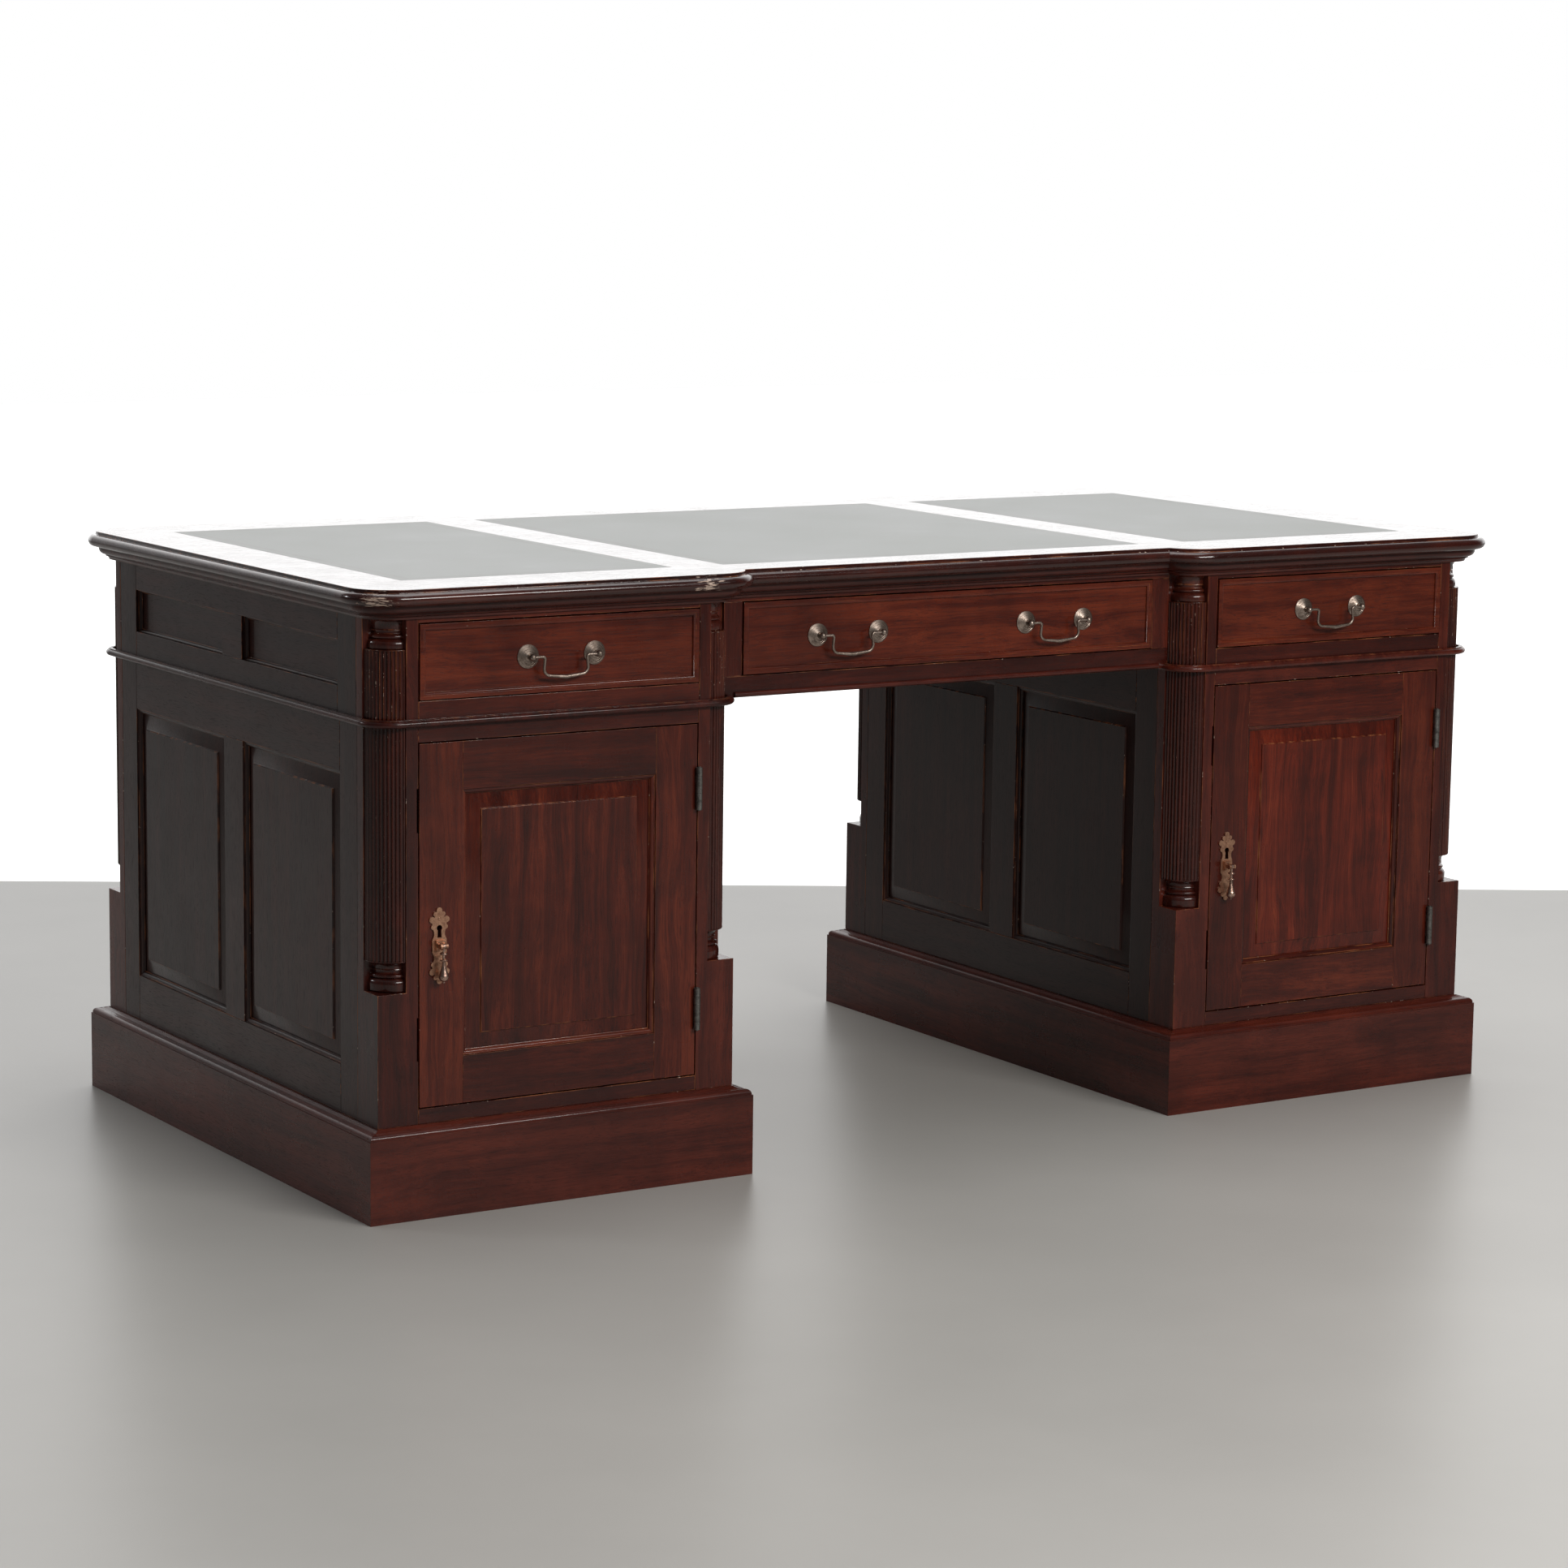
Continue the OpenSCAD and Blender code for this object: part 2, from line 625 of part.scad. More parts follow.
// Rails above and below each door
module pedestal_front_rails() color(mahogany) at_both_pedestals() {
    y = [-body_hd, -body_hd + 40];
    board([-door_hw, door_hw], y, [plinth_h, door_z]);
    board([-door_hw, door_hw], y, [door_z + door_h, waist_z]);
}

module cabinet_board(z)
    board([-side_in, side_in], [-body_hd + post_w, back_in - post_w + frame_t], z);

module cabinet_floors() color(drawer_wood) at_both_pedestals() {
    cabinet_board([door_z - board_t, door_z]);
    board([-door_hw, door_hw], [-body_hd + 40, -body_hd + post_w], [door_z - board_t, door_z]);
}

module cabinet_tops() color(drawer_wood) at_both_pedestals() {
    z = [door_z + door_h, door_z + door_h + board_t];
    cabinet_board(z);
    board([-door_hw, door_hw], [-body_hd + 40, -body_hd + post_w], z);
}

// One shelf in each pedestal, on a batten at either side
shelf_z = 345;
module cabinet_shelves() color(drawer_wood) at_both_pedestals() {
    y = [-body_hd + post_w + 20, back_in - post_w + frame_t];
    board([-side_in, side_in], y, [shelf_z, shelf_z + 16]);
    left_and_right() board([side_in - 16, side_in], y, [shelf_z - 20, shelf_z]);
}

// ---------------------------------------------------------------- doors

// A door's frame: two stiles and two rails, grooved for the panel, with a moulded inner edge
module door_frame(side) color(bright_mahogany) at_pedestal(side) {
    w = door_hw - door_gap;
    z = [door_z + door_gap, door_z + door_h - door_gap];
    opening = [z[0] + door_rail - door_gap, z[1] - door_rail + door_gap];
    in_w = w - door_rail + door_gap;
    y = [door_y, door_y + door_t];
    difference() {
        union() {
            left_and_right() board([in_w, w], y, z);
            board([-in_w, in_w], y, [z[0], opening[0]]);
            board([-in_w, in_w], y, [opening[1], z[1]]);
        }
        // Groove for the panel
        translate([-in_w - groove, door_y + door_t - groove_x - tongue_t - 2 * joint,
            opening[0] - groove])
            cube([2 * (in_w + groove), tongue_t + 2 * joint, opening[1] - opening[0] + 2 * groove]);
        // Mortises for the hinge leaves
        for (hz = hinge_zs)
            translate([w - leaf_t - joint, door_y - 1, hz - joint])
                cube([leaf_t + 1, leaf_w + 1 + joint, hinge_h + 2 * joint]);
        keyhole(door_y - 1, door_t + 2);
    }
    translate([0, door_y + door_t, (opening[0] + opening[1]) / 2]) rotate([90, 0, 0])
        opening_moulding(2 * in_w - joint, opening[1] - opening[0] - joint, strip_w, 14.6, 20.5);
}

module door_panel(side) color(mahogany) at_pedestal(side) {
    in_w = door_hw - door_rail;
    h = door_h - 2 * door_rail;
    translate([0, door_y + door_t - groove_x - joint, door_z + door_h / 2]) rotate([90, 0, 0])
        fielded_panel(2 * in_w, h);
}

// The hole for a key, through d millimetres from y: a round eye over a flared slot
module keyhole(y, d) translate([lock_x, y, keyhole_z]) {
    rotate([-90, 0, 0]) cylinder(h = d, r = 3.7);
    translate([0, d, 0]) rotate([90, 0, 0]) linear_extrude(d)
        polygon([[-2.2, 0], [2.2, 0], [2.9, -12], [-2.9, -12]]);
}

// Barrel sections of a butt hinge: five in all, which = 0 takes the even ones
module hinge_barrel(z, which) {
    n = 5;
    part_h = hinge_h / n;
    for (i = [which:2:n - 1])
        translate([hinge_x, hinge_y, z + i * part_h + 0.15]) difference() {
            union() {
                cylinder(h = part_h - 0.3, r = knuckle_r, $fn = 32);
                // The tab that joins the barrel to its leaf
                translate([which == 0 ? door_gap / 2 + 0.1 : -door_gap / 2 - 1.9, 0, 0])
                    cube([1.8, knuckle_r + 1.2, part_h - 0.3]);
            }
            translate([0, 0, -1]) cylinder(h = part_h + 2, r = pin_r + running, $fn = 32);
        }
}

// The leaves on the desk and the hinge pins
module hinge_frame_leaves() color(hinge_grey) at_both_pedestals() for (z = hinge_zs) {
    board([door_hw, door_hw + leaf_t], [door_y, door_y + leaf_w], [z, z + hinge_h]);
    hinge_barrel(z, 0);
    translate([hinge_x, hinge_y, z - 1]) cylinder(h = hinge_h + 2, r = pin_r, $fn = 32);
}

module hinge_door_leaves(side) color(hinge_grey) at_pedestal(side) for (z = hinge_zs) {
    board([door_hw - door_gap - leaf_t, door_hw - door_gap], [door_y, door_y + leaf_w],
        [z, z + hinge_h]);
    hinge_barrel(z, 1);
}

// A waisted plate with lobed ends, drawn in the XY plane about its middle
plate_h = 95;
plate_z = 335;                                 // its middle
module escutcheon_outline() {
    difference() {
        square([19.5, plate_h - 36], center = true);
        left_and_right() for (s = [-1, 1])
            translate([18.3, s * 15]) circle(11);
    }
    for (s = [-1, 1]) {
        translate([0, s * (plate_h / 2 - 19)]) circle(9.6);
        // Five lobes round each end: one at the tip and two pairs beside it
        translate([0, s * (plate_h / 2 - 3.8)]) circle(3.8);
        translate([0, s * (plate_h / 2 - 9)]) square([6.5, 8], center = true);
        left_and_right() {
            translate([5, s * (plate_h / 2 - 8.4)]) circle(3.1);
            translate([9.6, s * (plate_h / 2 - 15.2)]) circle(4);
            translate([8.4, s * (plate_h / 2 - 24.2)]) circle(3);
        }
    }
}

// The plate, and the boss with two lugs that carries the drop pull
module escutcheon(side) color(coppery_brass) at_pedestal(side) {
    plate_t = 1.6;
    difference() {
        face_front(door_y - joint) translate([lock_x, plate_z, 0])
            linear_extrude(plate_t) escutcheon_outline();
        keyhole(door_y - 3, 4);
    }
    // The head of the nail that holds the plate
    face_front(door_y - plate_t) translate([lock_x, plate_z + plate_h / 2 - 14.5, 0])
        cylinder(h = 0.9, r1 = 2.4, r2 = 1.7);
    reach = pull_y - (door_y - plate_t);
    translate([lock_x - 6, door_y - plate_t - 4.5, pull_z - 6]) cube([12, 4.5, 12]);
    for (s = [-1, 1]) translate([lock_x + s * 3.6, 0, pull_z]) {
        translate([-1.5, pull_y, -2.5]) cube([3, -reach, 5]);
        translate([0, pull_y, 0]) rotate([0, 90, 0]) cylinder(h = 3, r = 3.4, center = true);
    }
    translate([lock_x, pull_y, pull_z]) rotate([0, 90, 0])
        cylinder(h = 10.2, r = 1.2, center = true, $fn = 24);
}

// The pear-shaped drop that hangs between the lugs
module drop_pull(side) color(coppery_brass) at_pedestal(side) translate([lock_x, pull_y, pull_z]) {
    difference() {
        union() {
            rotate([0, 90, 0]) cylinder(h = 3.2, r = 3.2, center = true, $fn = 32);
            rotate_extrude() drop_outline();
        }
        rotate([0, 90, 0]) cylinder(h = 10, r = 1.2 + running, center = true, $fn = 24);
    }
}

module drop_outline() {
    translate([0, -22]) square([1.6, 19.5]);
    translate([0, -10.4]) square([3.4, 2.8]);
    translate([3.4, -9]) circle(1.4, $fn = 20);
    translate([0, -18]) square([3.8, 2]);
    translate([3.8, -17]) circle(1, $fn = 20);
    polygon(concat([[0, -40], [0, -19], [2, -19], [2.6, -24], [3.8, -29], [5.3, -34]],
        arc([0, -37.6], 6.3, 30, -90, 10)));
    translate([0, -44.4]) intersection() {
        circle(1.7, $fn = 20);
        translate([0, -2]) square(4);
    }
}

// A cupboard lock on the inside of the door's left stile
lock_y = [door_y + door_t, door_y + door_t + 11];
module lock(side) color(hinge_grey) at_pedestal(side) difference() {
    board([-door_hw + door_gap + 1, -door_hw + 54], lock_y, [keyhole_z - 26, keyhole_z + 26]);
    bolt_space(0.3);
    keyhole(lock_y[0] - 1, 6);
}

bolt_in = 2.5;                                 // the bolt inside the lock's faces
module bolt_space(extra) {
    translate([-door_hw - 5, lock_y[0] + bolt_in - extra, keyhole_z - 7 - extra])
        cube([48, lock_y[1] - lock_y[0] - 2 * bolt_in + 2 * extra, 14 + 2 * extra]);
}

// The bolt, drawn back flush with the edge of the door
module lock_bolt(side) color(aged_brass) at_pedestal(side)
    difference() {
        intersection() {
            bolt_space(0);
            board([-door_hw + door_gap + 0.5, -door_hw + 36], [-500, 0], [0, 500]);
        }
        translate([lock_x - 4, lock_y[0], keyhole_z - 14]) cube([8, 20, 11]);
    }

// Thin plates round the holes that take the bolts
module strike_plates() color(hinge_grey) at_both_pedestals() difference() {
    board([-door_hw - 1, -door_hw], [door_y + door_t - 4, door_y + door_t + 15],
        [keyhole_z - 18, keyhole_z + 18]);
    translate([-door_hw - 5, lock_y[0] + 0.5, keyhole_z - 9]) cube([10, 10, 18]);
}

// ---------------------------------------------------------------- drawers

// A drawer front with a raised moulded edge round a flat field, centred at x = 0
front_y = -frieze_hd - lip_proud;              // foremost face of the side drawers' edge
module drawer_front(w, y) color(bright_mahogany) {
    size = [w - 2 * drawer_gap, drawer_h - 2 * drawer_gap];
    pit = concat([[lip_w, front_t - lip_h]],
        arc([lip_w - 2.6, front_t - 3], 2.6, 0, 90, 6),
        [[lip_w - 3.8, front_t - 0.4], [lip_w - 3.8, front_t + 1]]);
    translate([0, y, drawer_z + drawer_h / 2]) rotate([90, 0, 0]) translate([0, 0, -front_t])
        difference() {
            translate([-size[0] / 2, -size[1] / 2, 0]) cube([size[0], size[1], front_t]);
            moulded_block(size[0], size[1], pit);
        }
}

// Sides, back and bottom of a drawer
side_t = 11;
module drawer_box(w, y) color(drawer_wood) {
    box_hw = w / 2 - drawer_gap - 1;
    front = y + front_t;
    z = [drawer_z + 0.5, drawer_z + drawer_h - 12];
    left_and_right() board([box_hw - side_t, box_hw], [front, front + drawer_box_d], z);
    board([-box_hw + side_t, box_hw - side_t], [front + drawer_box_d - side_t, front + drawer_box_d],
        [z[0] + 12, z[1] - 6]);
    board([-box_hw + side_t, box_hw - side_t], [front, front + drawer_box_d], [z[0] + 4, z[0] + 12]);
}

module side_drawer_front(side) at_pedestal(side) {
    drawer_front(side_drawer_w, front_y);
    roses(front_y + lip_h);
}

centre_front_y = -centre_hd - lip_proud;
module centre_drawer_front() {
    drawer_front(centre_drawer_w, centre_front_y);
    for (s = [-1, 1]) translate([s * centre_handle_x, 0, 0]) roses(centre_front_y + lip_h);
}

// Two coned roses with turned rings, each with a post that ends in a drilled ball
rose_rings = 4;
module roses(y) color(aged_brass) for (s = [-1, 1])
    translate([s * bail_span / 2, y - joint, handle_z]) rotate([90, 0, 0]) {
        difference() {
            rotate_extrude() {
                polygon(rose_outline());
                square([2.4, bail_out]);
                translate([0, bail_out - joint]) intersection() {
                    circle(4.3);
                    translate([0, -5]) square(10);
                }
            }
            translate([0, 0, bail_out - joint]) rotate([0, 90, 0])
                cylinder(h = 20, r = bail_r + running, center = true, $fn = 32);
        }
    }

// Half section of a rose: its cone steps down a little at every turned ring
function rose_outline() =
    let (band = (rose_r - 4) / rose_rings)
    concat([[0, 0], [rose_r, 0], [rose_r, 1.1]],
        [for (i = [0:rose_rings - 1], step = [0, 1])
            [rose_r - 0.3 - band * (i + step * 0.85), 1.3 + 1.15 * (i + step * 1.2)]],
        [[3.2, 1.3 + 1.15 * rose_rings], [3.2, 7], [0, 7]]);

// Half a bail in the XZ plane, from its pivot at the origin out along +X, down and in to the middle
bail_bend = [3, 9];                            // radii of its outer and lower bend
bail_tilt = 6;                                 // slope of its arms, in degrees
module half_bail() {
    lower = bail_drop - 15.5;
    turn = 90 + bail_tilt;
    translate([-3, 0, 0]) bail_bar(17, bail_r, bail_r);
    translate([14, 0, 0]) {
        bail_elbow(bail_bend[0], turn, -1);
        translate([0, 0, -bail_bend[0]]) rotate([0, turn, 0]) translate([0, 0, bail_bend[0]]) {
            bail_bar(lower, bail_r, bail_r);
            translate([lower, 0, 0]) {
                bail_elbow(bail_bend[1], 90, 1);
                translate([0, 0, bail_bend[1]]) rotate([0, -90, 0])
                    translate([0, 0, -bail_bend[1]]) bail_bar(23.2, bail_r, 2.6);
            }
        }
    }
}

// A round bar along +X that reaches a little way into the bends at its ends
module bail_bar(length, r0, r1)
    translate([-0.3, 0, 0]) rotate([0, 90, 0]) cylinder(h = length + 0.6, r1 = r0, r2 = r1, $fn = 32);

// A bend that starts along +X and turns down (-1) or up (1)
module bail_elbow(bend, angle, way)
    translate([0, 0, way * bend]) rotate([90, 0, 0]) rotate([0, 0, way < 0 ? 90 - angle : -90])
        rotate_extrude(angle = angle) translate([bend, 0]) circle(bail_r + 0.1, $fn = 32);

module bail(x, y) color(aged_brass) translate([x, y - bail_out, handle_z]) left_and_right()
    intersection() {
        translate([-bail_span / 2, 0, 0]) half_bail();
        translate([-100, -50, -50]) cube(100);
    }

// ---------------------------------------------------------------- nodes

top_board();
leather(-1);  // leather_left
leather(0);  // leather_centre
leather(1);  // leather_right
cornice();
frieze_corner_posts();
frieze_columns();
frieze_front_rails();
frieze_end_frames();
frieze_end_panels();
frieze_back_frames();
frieze_back_panels();
frieze_partitions();
drawer_runners();
dust_boards();
waist_beads();
centre_rail_beads();
plinth(-1);  // left_plinth
plinth(1);  // right_plinth
corner_posts(-1);  // left_corner_posts
corner_posts(1);  // right_corner_posts
columns(-1);  // left_columns
columns(1);  // right_columns
side_frames(-1);  // left_side_frames
side_frames(1);  // right_side_frames
side_panels(-1);  // left_side_panels
side_panels(1);  // right_side_panels
panel_mouldings();
pedestal_front_rails();
pedestal_back_frames();
pedestal_back_panels();
cabinet_floors();
cabinet_tops();
cabinet_shelves();
hinge_frame_leaves();
strike_plates();
door_frame(-1);  // left_door_frame
door_panel(-1);  // left_door_panel
hinge_door_leaves(-1);  // left_hinge_door_leaves
escutcheon(-1);  // left_escutcheon
drop_pull(-1);  // left_drop_pull
lock(-1);  // left_lock
lock_bolt(-1);  // left_lock_bolt
door_frame(1);  // right_door_frame
door_panel(1);  // right_door_panel
hinge_door_leaves(1);  // right_hinge_door_leaves
escutcheon(1);  // right_escutcheon
drop_pull(1);  // right_drop_pull
lock(1);  // right_lock
lock_bolt(1);  // right_lock_bolt
side_drawer_front(-1);  // left_drawer_front
at_pedestal(-1) drawer_box(side_drawer_w, front_y);  // left_drawer_box
bail(-pedestal_x, front_y + lip_h);  // left_drawer_bail
centre_drawer_front();
drawer_box(centre_drawer_w, centre_front_y);  // centre_drawer_box
bail(-centre_handle_x, centre_front_y + lip_h);  // centre_drawer_left_bail
bail(centre_handle_x, centre_front_y + lip_h);  // centre_drawer_right_bail
side_drawer_front(1);  // right_drawer_front
at_pedestal(1) drawer_box(side_drawer_w, front_y);  // right_drawer_box
bail(pedestal_x, front_y + lip_h);  // right_drawer_bail
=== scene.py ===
"""Looks of the pedestal writing desk: polished mahogany, worn leather and aged brass."""

import json
import math
import random

import bmesh
import bpy
from mathutils import Matrix, Vector


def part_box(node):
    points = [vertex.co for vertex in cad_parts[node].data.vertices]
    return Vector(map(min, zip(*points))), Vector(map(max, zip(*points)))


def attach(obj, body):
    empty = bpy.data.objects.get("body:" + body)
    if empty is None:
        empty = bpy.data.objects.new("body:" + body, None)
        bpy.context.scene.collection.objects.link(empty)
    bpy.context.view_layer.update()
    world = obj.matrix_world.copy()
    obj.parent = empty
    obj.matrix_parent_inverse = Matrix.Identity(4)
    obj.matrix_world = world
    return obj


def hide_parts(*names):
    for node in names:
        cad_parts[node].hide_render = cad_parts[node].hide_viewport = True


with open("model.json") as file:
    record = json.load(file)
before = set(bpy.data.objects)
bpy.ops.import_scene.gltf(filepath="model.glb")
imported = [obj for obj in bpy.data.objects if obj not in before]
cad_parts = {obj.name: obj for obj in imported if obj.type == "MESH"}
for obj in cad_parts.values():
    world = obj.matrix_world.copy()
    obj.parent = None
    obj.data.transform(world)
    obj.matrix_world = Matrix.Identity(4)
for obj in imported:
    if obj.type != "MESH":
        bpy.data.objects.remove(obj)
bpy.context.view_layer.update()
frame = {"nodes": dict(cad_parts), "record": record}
NODES = frame["nodes"]
BODY_OF = {n: b for b, ns in frame["record"]["behaviour"]["bodies"].items() for n in ns}
MM = 0.001


# ---------------------------------------------------------------- materials

class Nodes:
    """A small helper that builds one node material."""

    def __init__(self, name, **shader):
        self.material = bpy.data.materials.new(name)
        self.material.use_nodes = True
        self.tree = self.material.node_tree
        self.shader = self.tree.nodes["Principled BSDF"]
        for socket, value in shader.items():
            self.shader.inputs[socket.replace("_", " ")].default_value = value

    def add(self, kind, inputs=None, **settings):
        node = self.tree.nodes.new("ShaderNode" + kind)
        for key, value in settings.items():
            setattr(node, key, value)
        for key, value in (inputs or {}).items():
            if isinstance(value, bpy.types.NodeSocket):
                self.tree.links.new(value, node.inputs[key])
            else:
                node.inputs[key].default_value = value
        return node

    def link(self, socket, name):
        self.tree.links.new(socket, self.shader.inputs[name])

    def attribute(self, name):
        return self.add("Attribute", attribute_name=name)

    def stretched(self, vector, scale, offset=(0, 0, 0)):
        node = self.add("Mapping", {"Vector": vector})
        node.inputs["Scale"].default_value = scale
        node.inputs["Location"].default_value = offset
        return node.outputs["Vector"]

    def noise(self, vector, scale, detail=4, roughness=0.55, distortion=0.0):
        return self.add("TexNoise", {"Vector": vector, "Scale": scale, "Detail": detail,
                                     "Roughness": roughness, "Distortion": distortion}).outputs["Fac"]

    def ramp(self, fac, *stops):
        node = self.add("ValToRGB", {"Fac": fac})
        points = node.color_ramp.elements
        while len(points) < len(stops):
            points.new(0.5)
        for point, (place, colour) in zip(points, stops):
            point.position = place
            value = colour if isinstance(colour, (tuple, list)) else (colour,) * 3
            point.color = (*value[:3], 1)
        return node.outputs["Color"]

    def math(self, operation, a, b=0.0, c=0.0, clamp=False):
        node = self.add("Math", operation=operation, use_clamp=clamp)
        for socket, value in zip(node.inputs, (a, b, c)):
            if isinstance(value, bpy.types.NodeSocket):
                self.tree.links.new(value, socket)
            else:
                socket.default_value = value
        return node.outputs["Value"]

    def mix(self, fac, a, b, blend="MIX"):
        node = self.add("Mix", data_type="RGBA", blend_type=blend)
        for index, value in ((0, fac), (6, a), (7, b)):
            if isinstance(value, bpy.types.NodeSocket):
                self.tree.links.new(value, node.inputs[index])
            else:
                node.inputs[index].default_value = value if index == 0 else (*value[:3], 1)
        return node.outputs[2]

    def bump(self, height, strength, distance, normal=None):
        node = self.add("Bump", {"Height": height, "Strength": strength, "Distance": distance})
        if normal is not None:
            self.tree.links.new(normal, node.inputs["Normal"])
        return node.outputs["Normal"]


def wood(name, dark, mid, light, worn, polish=0.3, figure=0.5, coat=0.35, chips=0.68, scuffs=()):
    """Old polished mahogany: streaked figure along the grain, fine pores, worn and chipped arrises.

    Arrises are chipped where a noise passes the value of chips, and each scuff is a place and a reach.
    """
    m = Nodes(name, Coat_Weight=coat, Coat_Roughness=0.10, IOR=1.45, Specular_IOR_Level=0.25)
    grain = m.attribute("grain").outputs["Vector"]
    tint = m.attribute("tint").outputs["Fac"]
    edge = m.attribute("edge").outputs["Fac"]

    # The figure wanders across the board
    drift = m.noise(m.stretched(grain, (1.2, 5, 5)), 3.0, 2)
    sideways = m.add("CombineXYZ", {"Y": m.math("MULTIPLY", drift, 0.05),
                                    "Z": m.math("MULTIPLY", drift, 0.03)}).outputs["Vector"]
    along = m.add("VectorMath", {0: grain, 1: sideways}, operation="ADD").outputs["Vector"]
    bands = m.noise(m.stretched(along, (1.1, 26, 26)), 2.2, 6, 0.62)
    streaks = m.noise(m.stretched(along, (4, 190, 190)), 2.5, 4, 0.6)
    ripple = m.noise(m.stretched(along, (16, 9, 9)), 2.0, 2)
    value = m.math("ADD", m.math("MULTIPLY", bands, 0.62), m.math("MULTIPLY", streaks, 0.26))
    value = m.math("ADD", value, m.math("MULTIPLY", ripple, 0.12))
    value = m.math("ADD", value, m.math("MULTIPLY", m.math("SUBTRACT", tint, 0.5), 0.16))
    spread = 0.10 + 0.10 * (1 - figure)
    colour = m.ramp(value, (0.5 - spread, dark), (0.5, mid), (0.5 + spread, light))

    pores = m.noise(m.stretched(along, (45, 1300, 1300)), 1.0, 2, 0.5)
    pore_mask = m.ramp(pores, (0.33, 1.0), (0.45, 0.0))
    colour = m.mix(m.math("MULTIPLY", pore_mask, 0.55), colour, tuple(c * 0.45 for c in dark))

    # Old polish, darker where it has pooled and dulled
    patina = m.noise(grain, 7.0, 3)
    colour = m.mix(m.ramp(patina, (0.42, 0.0), (0.7, 0.5)), colour, dark)

    # Rubbed arrises, which show paler wood
    rub = m.noise(m.stretched(grain, (22, 90, 90)), 1.0, 3)
    rubbed = m.math("MULTIPLY", edge, m.ramp(rub, (0.46, 0.0), (0.66, 1.0)))
    colour = m.mix(m.math("MULTIPLY", rubbed, 0.85), colour, worn)

    # Chips and scuffs down to bare wood
    place = m.add("TexCoord").outputs["Object"]
    nicks = m.noise(place, 160.0, 3, 0.65)
    chipped = m.math("MULTIPLY", edge, m.ramp(nicks, (chips, 0.0), (chips + 0.03, 1.0)))
    for centre, reach in scuffs:
        away = m.add("VectorMath", {0: place, 1: centre}, operation="DISTANCE").outputs["Value"]
        near = m.math("SUBTRACT", 1.0, m.math("DIVIDE", away, reach), clamp=True)
        scratches = m.noise(m.stretched(place, (60, 60, 520)), 1.0, 5, 0.65)
        strength = m.math("MULTIPLY", m.math("POWER", near, 0.5), scratches)
        torn = m.ramp(strength, (0.45, 0.0), (0.49, 1.0))
        chipped = m.math("MAXIMUM", chipped, torn)
    colour = m.mix(m.math("MULTIPLY", chipped, 0.9), colour, BARE_WOOD)
    m.link(colour, "Base Color")

    smear = m.noise(grain, 18.0, 4)
    rough = m.math("ADD", m.math("MULTIPLY", smear, 0.22), polish - 0.08)
    rough = m.math("ADD", rough, m.math("MULTIPLY", pore_mask, 0.2))
    rough = m.math("ADD", rough, m.math("MULTIPLY", chipped, 0.3))
    m.link(m.math("ADD", rough, m.math("MULTIPLY", rubbed, 0.12)), "Roughness")
    waves = m.bump(m.noise(m.stretched(grain, (4, 14, 14)), 1.0, 2), 0.12, 0.002)
    fine = m.math("ADD", m.math("MULTIPLY", streaks, 0.5), m.math("MULTIPLY", pore_mask, -1.0))
    m.link(m.bump(fine, 0.16, 0.0003, waves), "Normal")
    return m.material


def leather(name, base, bright, half_x, half_y, centre_x):
    """Desk leather: fine pebble grain, rubbed patches and a tooled line near its edge."""
    m = Nodes(name, Specular_IOR_Level=0.8, Coat_Weight=0.40, Coat_Roughness=0.4)
    place = m.add("TexCoord").outputs["Object"]
    cells = m.add("TexVoronoi", {"Vector": place, "Scale": 620.0}, feature="SMOOTH_F1")
    pebbles = cells.outputs["Distance"]
    creases = m.noise(place, 260.0, 4, 0.6)
    wear = m.noise(place, 4.5, 5, 0.6)
    colour = m.mix(m.ramp(wear, (0.38, 0.0), (0.72, 1.0)), base, bright)
    colour = m.mix(m.ramp(pebbles, (0.1, 0.0), (0.6, 0.35)), colour, tuple(c * 0.5 for c in base))

    split = m.add("SeparateXYZ", {"Vector": place})
    across = m.math("SUBTRACT", split.outputs["X"], centre_x)
    from_x = m.math("SUBTRACT", half_x, m.math("ABSOLUTE", across))
    from_y = m.math("SUBTRACT", half_y, m.math("ABSOLUTE", split.outputs["Y"]))
    inset = m.math("MINIMUM", from_x, from_y)

    def line(at, width):
        off = m.math("ABSOLUTE", m.math("SUBTRACT", inset, at))
        return m.math("LESS_THAN", off, width / 2)

    tooled = m.math("MAXIMUM", line(0.012, 0.0016), line(0.0165, 0.0035))
    colour = m.mix(m.math("MULTIPLY", tooled, 0.75), colour, TOOLED_GOLD)
    m.link(colour, "Base Color")
    m.link(m.math("ADD", m.math("MULTIPLY", wear, 0.22), 0.30), "Roughness")
    soft = m.bump(creases, 0.3, 0.0004)
    m.link(m.bump(m.math("SUBTRACT", pebbles, tooled), 0.35, 0.0003, soft), "Normal")
    return m.material


def metal(name, base, dull, rough):
    """Aged metal: dull film in the hollows, brighter where hands rub it."""
    m = Nodes(name, Metallic=1.0)
    place = m.add("TexCoord").outputs["Object"]
    film = m.noise(place, 130.0, 5, 0.62)
    spots = m.noise(place, 620.0, 3, 0.6)
    tarnish = m.ramp(m.math("ADD", m.math("MULTIPLY", film, 0.7), m.math("MULTIPLY", spots, 0.3)),
                     (0.40, 0.0), (0.62, 1.0))
    colour = m.mix(tarnish, base, dull)
    edge = m.attribute("edge").outputs["Fac"]
    colour = m.mix(m.math("MULTIPLY", edge, 0.6), colour, tuple(min(1, c * 1.5) for c in base))
    m.link(colour, "Base Color")
    m.link(m.math("ADD", m.math("MULTIPLY", tarnish, 0.25), rough), "Roughness")
    m.link(m.bump(spots, 0.09, 0.0002), "Normal")
    return m.material


